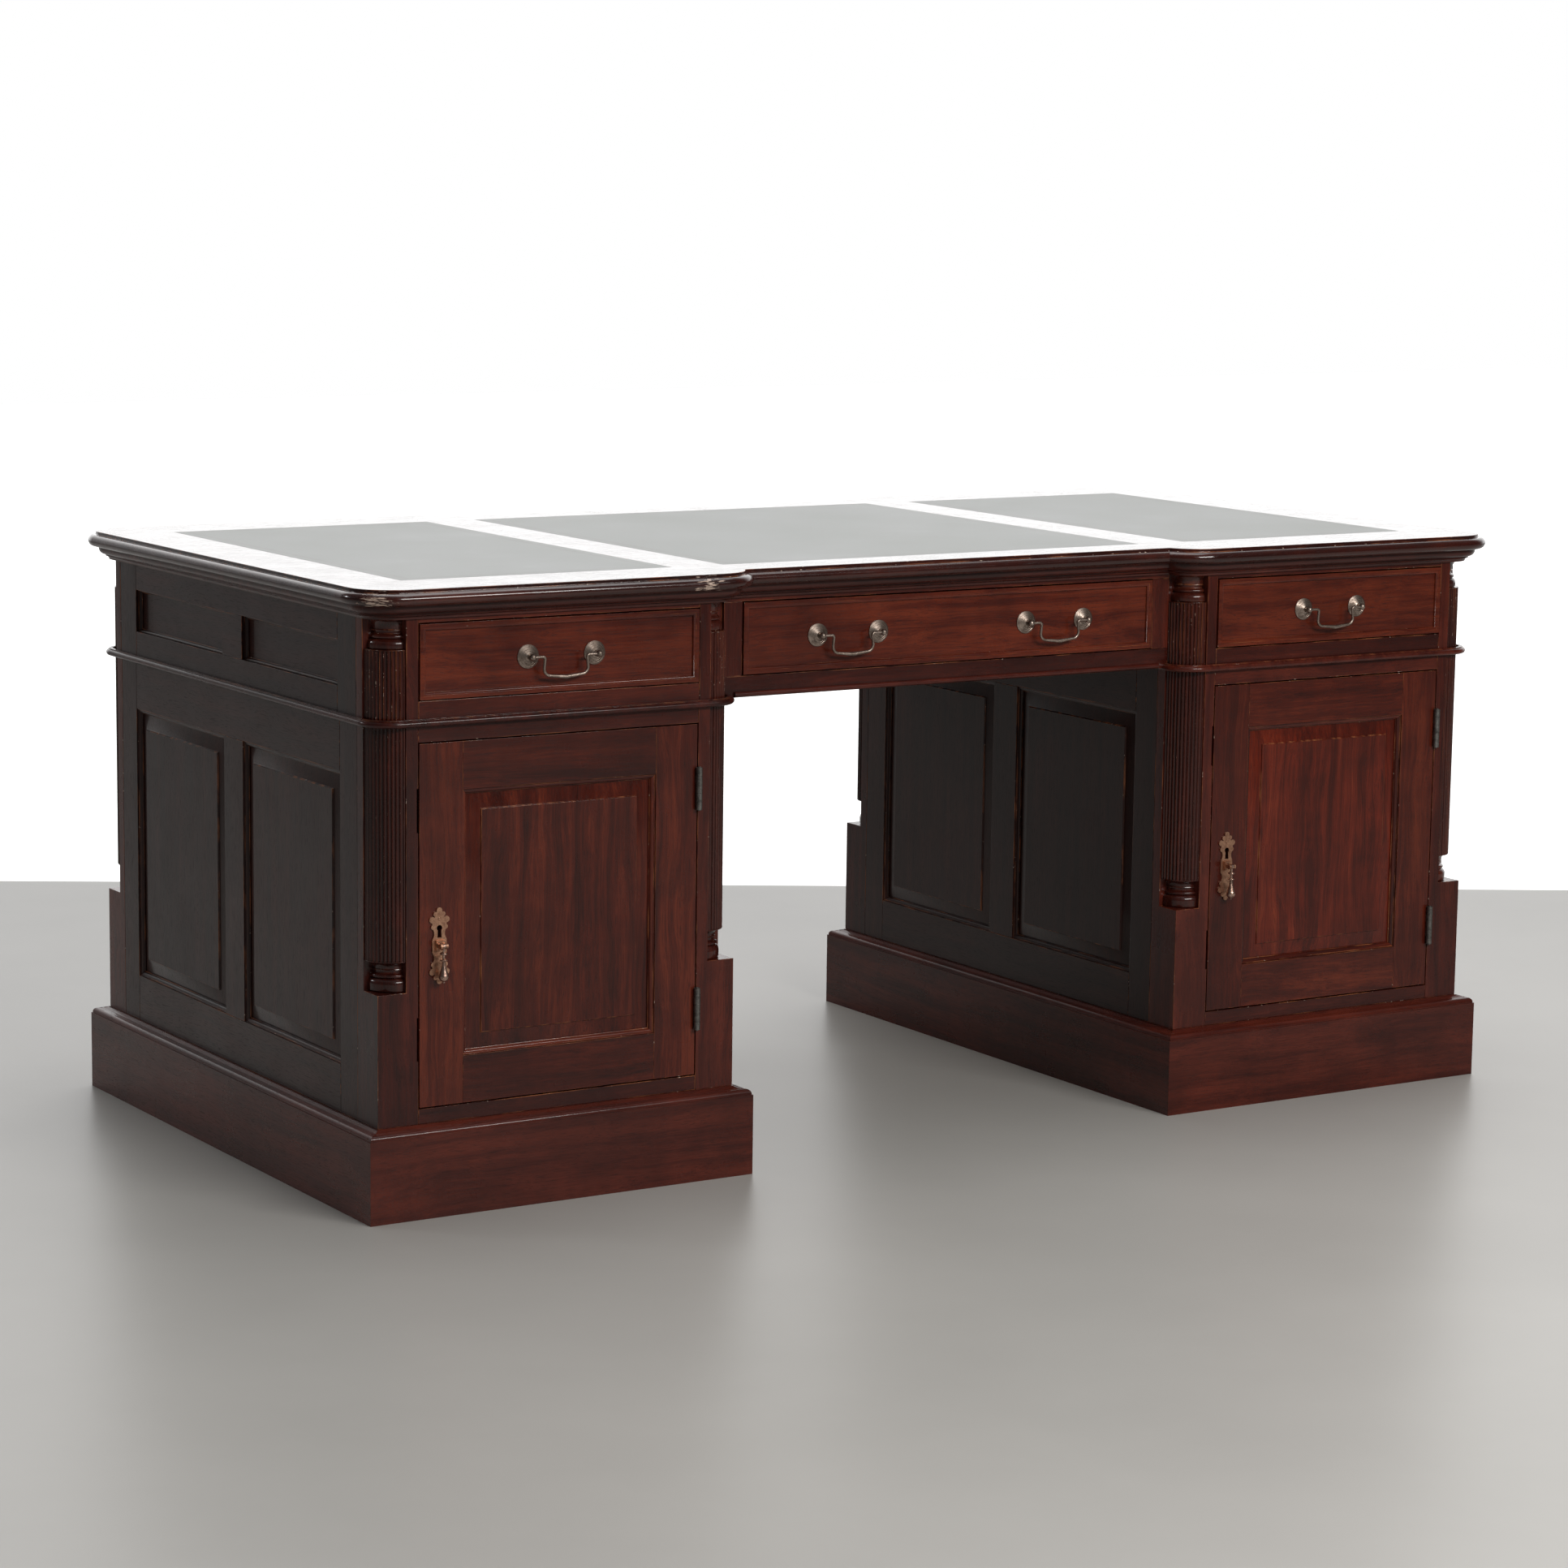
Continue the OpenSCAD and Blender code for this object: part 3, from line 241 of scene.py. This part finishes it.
TOOLED_GOLD = (0.035, 0.026, 0.014)            # long since dulled
WORN = (0.34, 0.115, 0.042)                    # wood under rubbed polish
BARE_WOOD = (0.62, 0.47, 0.38)                 # wood in a chip
CORNER_SCUFF = ((-0.868, -0.436, 0.756), 0.062)
EDGE_SCUFF = ((-0.410, -0.447, 0.757), 0.050)

# Each wood has its dark, middle and light colour, then its worn colour, roughness and figure
FRONT_WOOD = wood("front_mahogany",
                  (0.029, 0.0042, 0.0024), (0.078, 0.0102, 0.0045), (0.155, 0.025, 0.0092),
                  WORN, 0.26, 0.6)
# The right door panel: partly a paler board, partly painted light standing in for the stronger light the
# right pedestal gets
PALER_AND_LIT_WOOD = wood("bright_mahogany",
                   (0.050, 0.0060, 0.0028), (0.140, 0.0160, 0.0060), (0.240, 0.040, 0.014),
                   WORN, 0.28, 0.6)
BODY_WOOD = wood("body_mahogany",
                 (0.024, 0.0040, 0.0027), (0.066, 0.0094, 0.0050), (0.122, 0.020, 0.010),
                 WORN, 0.26, 0.5, chips=0.66)
COLUMN_WOOD = wood("column_mahogany",
                   (0.020, 0.0040, 0.0028), (0.054, 0.0088, 0.0052), (0.105, 0.020, 0.010),
                   WORN, 0.24, 0.5, coat=0.6, chips=0.62)
# The ends and sides: a darker copy of the mahogany, painted shade for faces that get less light than the
# fronts
SHADED_SIDE_WOOD = wood("shaded_side_mahogany",
                 (0.014, 0.0034, 0.0024), (0.028, 0.0066, 0.0045), (0.048, 0.0120, 0.0080),
                 WORN, 0.34, 0.4)
TOP_WOOD = wood("top_mahogany",
                (0.022, 0.0042, 0.0030), (0.052, 0.0088, 0.0052), (0.095, 0.018, 0.009),
                WORN, 0.20, 0.5, coat=0.75, chips=0.64, scuffs=(CORNER_SCUFF, EDGE_SCUFF))
PLAIN_WOOD = wood("plain_drawer_wood",
                  (0.16, 0.075, 0.032), (0.27, 0.145, 0.066), (0.38, 0.22, 0.11),
                  (0.42, 0.27, 0.15), 0.55)
BRONZE = metal("aged_brass", (0.42, 0.34, 0.29), (0.17, 0.13, 0.105), 0.30)
COPPERY = metal("coppery_brass", (0.66, 0.38, 0.25), (0.30, 0.155, 0.10), 0.30)
DARK_BRONZE = metal("drop_bronze", (0.60, 0.41, 0.33), (0.25, 0.15, 0.115), 0.24)
IRON = metal("hinge_metal", (0.24, 0.23, 0.215), (0.09, 0.085, 0.08), 0.42)


# ---------------------------------------------------------------- CAD nodes

def islands(bm):
    """The separate solids of a welded mesh, as lists of faces."""
    left = set(bm.faces)
    found = []
    for seed in bm.faces:
        if seed not in left:
            continue
        left.discard(seed)
        stack, group = [seed], []
        while stack:
            face = stack.pop()
            group.append(face)
            for edge in face.edges:
                for other in edge.link_faces:
                    if other in left:
                        left.discard(other)
                        stack.append(other)
        found.append(group)
    return found


def dress(node, material, bevel, along=None, sharp=32):
    """Rebuilds a CAD node's solids welded, with softened arrises and grain along each board.

    Solids no larger than a rose of a handle are metal.
    """
    bm = bmesh.new()
    bm.from_mesh(NODES[node].data)
    bmesh.ops.remove_doubles(bm, verts=bm.verts, dist=1e-6)
    bmesh.ops.dissolve_limit(bm, angle_limit=math.radians(0.4), verts=bm.verts, edges=bm.edges)
    edge_layer = bm.faces.layers.float.new("edge")
    if bevel:
        crisp = [e for e in bm.edges if e.is_manifold and e.calc_face_angle() > math.radians(sharp)
                 and e.calc_length() > 3 * bevel]
        made = bmesh.ops.bevel(bm, geom=crisp, offset=bevel, offset_type="OFFSET", segments=2,
                               profile=0.5, affect="EDGES", clamp_overlap=True)
        for face in made["faces"]:
            face[edge_layer] = 1.0
    for edge in bm.edges:
        edge.smooth = not edge.is_manifold or edge.calc_face_angle() < math.radians(sharp)
    for face in bm.faces:
        face.smooth = True
    grain = bm.verts.layers.float_vector.new("grain")
    tint = bm.faces.layers.float.new("tint")
    dice = random.Random(node)
    for group in islands(bm):
        verts = {v for f in group for v in f.verts}
        low = Vector(min(v.co[i] for v in verts) for i in range(3))
        high = Vector(max(v.co[i] for v in verts) for i in range(3))
        size = high - low
        axis = along if along is not None else max(range(3), key=lambda i: size[i])
        order = [axis, (axis + 1) % 3, (axis + 2) % 3]
        shift = Vector(dice.uniform(0, 9) for _ in range(3))
        shade = dice.random()
        for v in verts:
            v[grain] = Vector(v.co[i] for i in order) + shift
        for f in group:
            f[tint] = shade
            f.material_index = 1 if max(size) < ROSE_SIZE else 0
    mesh = bpy.data.meshes.new(node + "_shape")
    bm.to_mesh(mesh)
    bm.free()
    piece = bpy.data.objects.new(node + "_finished", mesh)
    bpy.context.scene.collection.objects.link(piece)
    mesh.materials.append(material)
    if any(f.material_index for f in mesh.polygons):
        mesh.materials.append(BRONZE)
    weighted = piece.modifiers.new("shading", "WEIGHTED_NORMAL")
    weighted.keep_sharp = True
    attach(piece, BODY_OF[node])
    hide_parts(node)
    return piece


ROSE_SIZE = 35 * MM                            # a solid smaller than this is a metal rose
WOODEN = {
    FRONT_WOOD: ["left_drawer_front", "centre_drawer_front", "right_drawer_front",
                 "left_door_frame", "right_door_frame", "left_door_panel"],
    PALER_AND_LIT_WOOD: ["right_door_panel"],
    COLUMN_WOOD: ["frieze_columns", "left_columns", "right_columns"],
    BODY_WOOD: ["cornice", "frieze_corner_posts", "frieze_front_rails",
                "waist_beads", "centre_rail_beads", "left_plinth", "right_plinth",
                "left_corner_posts", "right_corner_posts",
                "pedestal_front_rails", "frieze_back_frames", "frieze_back_panels",
                "pedestal_back_frames", "pedestal_back_panels"],
    SHADED_SIDE_WOOD: ["frieze_end_frames", "frieze_end_panels", "left_side_frames", "right_side_frames",
                "left_side_panels", "right_side_panels", "panel_mouldings"],
    TOP_WOOD: ["top_board"],
    PLAIN_WOOD: ["frieze_partitions", "drawer_runners", "dust_boards", "cabinet_floors", "cabinet_tops",
                 "cabinet_shelves", "left_drawer_box", "centre_drawer_box", "right_drawer_box"],
}
COLUMNS = ("frieze_columns", "left_columns", "right_columns")
CURVED = (*COLUMNS, "cornice", "waist_beads", "centre_rail_beads")
UPRIGHT = (*COLUMNS, "left_side_panels", "right_side_panels", "left_door_panel", "right_door_panel",
           "pedestal_back_panels")

SOFT_ARRIS = 0.8 * MM
ARRIS = {name: 0.3 * MM for name in CURVED}
ARRIS.update({side + "_drawer_front": 1.5 * MM for side in ("left", "centre", "right")})

for wooden, names in WOODEN.items():
    for name in names:
        dress(name, wooden, bevel=ARRIS.get(name, SOFT_ARRIS), along=2 if name in UPRIGHT else None)


def finish_metal(names, material):
    for name in names:
        NODES[name].data.materials.clear()
        NODES[name].data.materials.append(material)


finish_metal(["left_drawer_bail", "centre_drawer_left_bail", "centre_drawer_right_bail",
              "right_drawer_bail", "left_lock_bolt", "right_lock_bolt"], BRONZE)
finish_metal(["left_escutcheon", "right_escutcheon"], COPPERY)
finish_metal(["left_drop_pull", "right_drop_pull"], DARK_BRONZE)
finish_metal(["hinge_frame_leaves", "strike_plates", "left_hinge_door_leaves", "right_hinge_door_leaves",
              "left_lock", "right_lock"], IRON)

for name in ("leather_left", "leather_centre", "leather_right"):
    low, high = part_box(name)
    half = (high - low) / 2
    NODES[name].data.materials.clear()
    NODES[name].data.materials.append(
        leather(name + "_hide", (0.045, 0.055, 0.045), (0.10, 0.115, 0.092),
                half.x, half.y, (low.x + high.x) / 2))


# ---------------------------------------------------------------- floor, lights and camera

def floor_material():
    """A pale dull floor, which the camera sees as white past the line where a wall would stand."""
    m = Nodes("pale_floor", Roughness=0.36, Specular_IOR_Level=0.3)
    place = m.add("TexCoord").outputs["Object"]
    clouds = m.noise(place, 1.3, 5, 0.6)
    pale, dark = (tuple(c * k for c in FLOOR_COLOUR) for k in (1.05, 0.94))
    shade = m.ramp(clouds, (0.3, dark), (0.7, pale))
    m.link(shade, "Base Color")
    ahead = m.add("VectorMath", {0: place, 1: WALL_NORMAL}, operation="DOT_PRODUCT").outputs["Value"]
    past = m.math("GREATER_THAN", ahead, WALL_REACH)
    seen = m.add("LightPath").outputs["Is Camera Ray"]
    m.shader.inputs["Emission Color"].default_value = (1, 1, 1, 1)
    m.link(m.math("MULTIPLY", past, seen), "Emission Strength")
    return m.material


def make_floor():
    """A large pale floor with a dull polish."""
    mesh = bpy.data.meshes.new("studio_floor")
    size = 14
    mesh.from_pydata([(-size, -size, 0), (size, -size, 0), (size, size, 0), (-size, size, 0)], [],
                     [(0, 1, 2, 3)])
    floor = bpy.data.objects.new("studio_floor", mesh)
    bpy.context.scene.collection.objects.link(floor)
    mesh.materials.append(floor_material())


def area_light(name, place, aim, size, power, colour=(1, 1, 1)):
    data = bpy.data.lights.new(name, "AREA")
    data.shape = "RECTANGLE"
    data.size, data.size_y = size
    data.energy = power
    data.color = colour
    lamp = bpy.data.objects.new(name, data)
    lamp.location = place
    lamp.rotation_euler = (Vector(aim) - Vector(place)).to_track_quat("-Z", "Y").to_euler()
    bpy.context.scene.collection.objects.link(lamp)


def make_world():
    """A white studio: a bright wall behind the desk and a dimmer room round the other sides."""
    world = bpy.data.worlds.new("studio")
    world.use_nodes = True
    tree = world.node_tree
    nodes, links = tree.nodes, tree.links

    def towards(direction, start, end, peak):
        dot = nodes.new("ShaderNodeVectorMath")
        dot.operation = "DOT_PRODUCT"
        links.new(way, dot.inputs[0])
        dot.inputs[1].default_value = direction
        ramp = nodes.new("ShaderNodeMapRange")
        ramp.interpolation_type = "SMOOTHSTEP"
        links.new(dot.outputs["Value"], ramp.inputs["Value"])
        ramp.inputs["From Min"].default_value = start
        ramp.inputs["From Max"].default_value = end
        ramp.inputs["To Max"].default_value = peak
        return ramp.outputs["Result"]

    def total(a, b):
        node = nodes.new("ShaderNodeMath")
        node.operation = "ADD"
        links.new(a, node.inputs[0])
        if isinstance(b, bpy.types.NodeSocket):
            links.new(b, node.inputs[1])
        else:
            node.inputs[1].default_value = b
        return node.outputs["Value"]

    way = nodes.new("ShaderNodeTexCoord").outputs["Generated"]
    room = total(towards(BACK_WALL, 0.45, 0.85, WALL_GLOW), ROOM_GLOW)
    room = total(towards((-1, 0, 0), 0.1, 0.9, LEFT_GLOW), room)
    room = total(towards((0, 0, 1), 0.5, 1.0, CEILING_GLOW), room)
    seen = nodes.new("ShaderNodeLightPath").outputs["Is Camera Ray"]
    mix = nodes.new("ShaderNodeMix")
    links.new(seen, mix.inputs[0])
    links.new(room, mix.inputs[2])
    mix.inputs[3].default_value = 1.0
    links.new(mix.outputs[0], nodes["Background"].inputs["Strength"])
    nodes["Background"].inputs["Color"].default_value = (1, 1, 1, 1)
    bpy.context.scene.world = world


BACK_WALL = (0.529, 0.849, 0.0)
WALL_GLOW, ROOM_GLOW, LEFT_GLOW, CEILING_GLOW = 1.5, 0.05, 0.02, 0.20
FLOOR_COLOUR = (0.44, 0.428, 0.405)
WALL_TURN = math.radians(29.6)                 # the way the wall behind the desk faces
WALL_NORMAL = (math.sin(WALL_TURN), math.cos(WALL_TURN), 0.0)
WALL_REACH = 1.54                              # from the desk's middle to the foot of that wall


def make_lights():
    make_world()
    area_light("key", (0.5, -4.2, 2.7), (0.1, -0.3, 0.4), (2.6, 0.7), 120, (1.0, 0.98, 0.95))
    area_light("window", (-3.7, 2.5, 2.3), (-0.6, 0, 0.6), (0.6, 0.7), 16, (0.96, 0.98, 1.0))
    area_light("overhead", (0.2, 0.2, 4.2), (0, 0, 0.5), (3.0, 3.0), 70)
    bpy.context.scene.view_settings.view_transform = "Standard"


def make_camera():
    """The photograph's camera: where it stood, its turn, dip and tilt, and its lens."""
    yaw, pitch, roll = (math.radians(a) for a in (31.948, -8.826, 0.752))
    ahead = Vector((math.sin(yaw) * math.cos(pitch), math.cos(yaw) * math.cos(pitch), math.sin(pitch)))
    right = Vector((math.cos(yaw), -math.sin(yaw), 0))
    up = right.cross(ahead)
    side = right * math.cos(roll) + up * math.sin(roll)
    top = up * math.cos(roll) - right * math.sin(roll)
    data = bpy.data.cameras.new("camera")
    data.sensor_width = 36
    data.lens = 95.77
    camera = bpy.data.objects.new("camera", data)
    turn = Matrix((side, top, -ahead)).transposed().to_4x4()
    camera.matrix_world = Matrix.Translation((-3.05827, -4.87078, 1.31457)) @ turn
    bpy.context.scene.collection.objects.link(camera)
    bpy.context.scene.camera = camera


make_floor()
make_lights()
make_camera()
